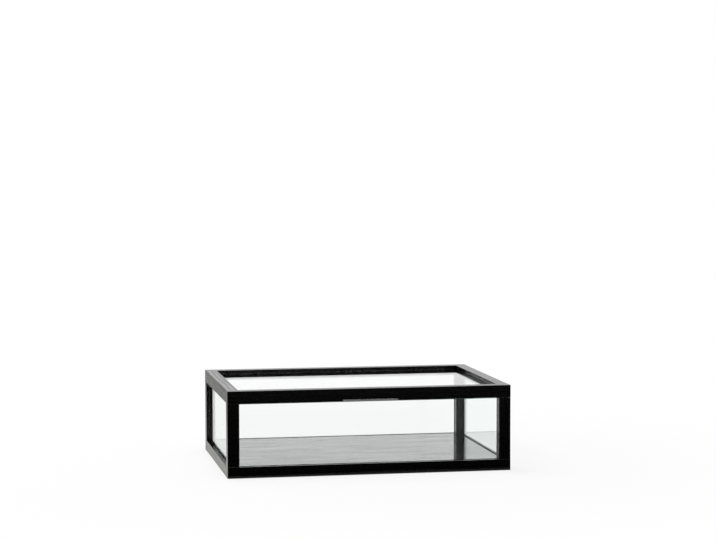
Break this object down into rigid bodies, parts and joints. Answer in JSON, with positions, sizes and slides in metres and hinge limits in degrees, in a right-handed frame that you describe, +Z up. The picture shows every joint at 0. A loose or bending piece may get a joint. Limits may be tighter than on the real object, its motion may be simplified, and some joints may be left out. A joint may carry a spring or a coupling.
{
  "type": "glass display box",
  "caption": "Low rectangular display box: black wooden frame, clear panes on every side, a boarded base, and a hinged glass lid with a finger pull at the front.",
  "frame": {"origin": "on the table, in the middle of the box's outline with its hinges", "axes": "+X along the front to the right, +Y towards the hinges, +Z up"},
  "size_m": [0.4, 0.2844, 0.1205],
  "materials": {
    "black_wood": "black stain under a satin lacquer, open straight grain",
    "clear_glass": "clear float glass with seamed edges",
    "beech": "bare turned beech",
    "brass": "satin brass",
    "bumper": "soft black rubber"
  },
  "bodies": {
    "case": {"base_board": "black_wood", "base_rail_front": "black_wood", "base_rail_rear": "black_wood", "base_rail_left": "black_wood", "base_rail_right": "black_wood", "post_front_left": "black_wood", "post_front_right": "black_wood", "post_rear_left": "black_wood", "post_rear_right": "black_wood", "pane_front": "clear_glass", "pane_rear": "clear_glass", "pane_left": "clear_glass", "pane_right": "clear_glass", "base_dowel_front_left": "beech", "base_dowel_front_right": "beech", "base_dowel_rear_left": "beech", "base_dowel_rear_right": "beech", "post_dowel_front_left": "beech", "post_dowel_front_right": "beech", "post_dowel_rear_left": "beech", "post_dowel_rear_right": "beech", "hinge_leaf_case_left": "brass", "hinge_leaf_case_right": "brass", "hinge_pin_left": "brass", "hinge_pin_right": "brass", "case_screw_left_outer": "brass", "case_screw_left_inner": "brass", "case_screw_right_outer": "brass", "case_screw_right_inner": "brass", "bumper_left": "bumper", "bumper_right": "bumper"},
    "lid": {"lid_rail_front": "black_wood", "lid_rail_rear": "black_wood", "lid_rail_left": "black_wood", "lid_rail_right": "black_wood", "lid_glass": "clear_glass", "lid_dowel_front_left": "beech", "lid_dowel_front_right": "beech", "lid_dowel_rear_left": "beech", "lid_dowel_rear_right": "beech", "hinge_leaf_lid_left": "brass", "hinge_leaf_lid_right": "brass", "lid_screw_left_outer": "brass", "lid_screw_left_inner": "brass", "lid_screw_right_outer": "brass", "lid_screw_right_inner": "brass"}
  },
  "joints": [
    {"name": "lid_hinge", "type": "hinge", "parent": "case", "child": "lid", "pos_m": [0, 0.13991, 0.1028], "axis": [-1, 0, 0], "range_deg": [0, 95]}
  ]
}
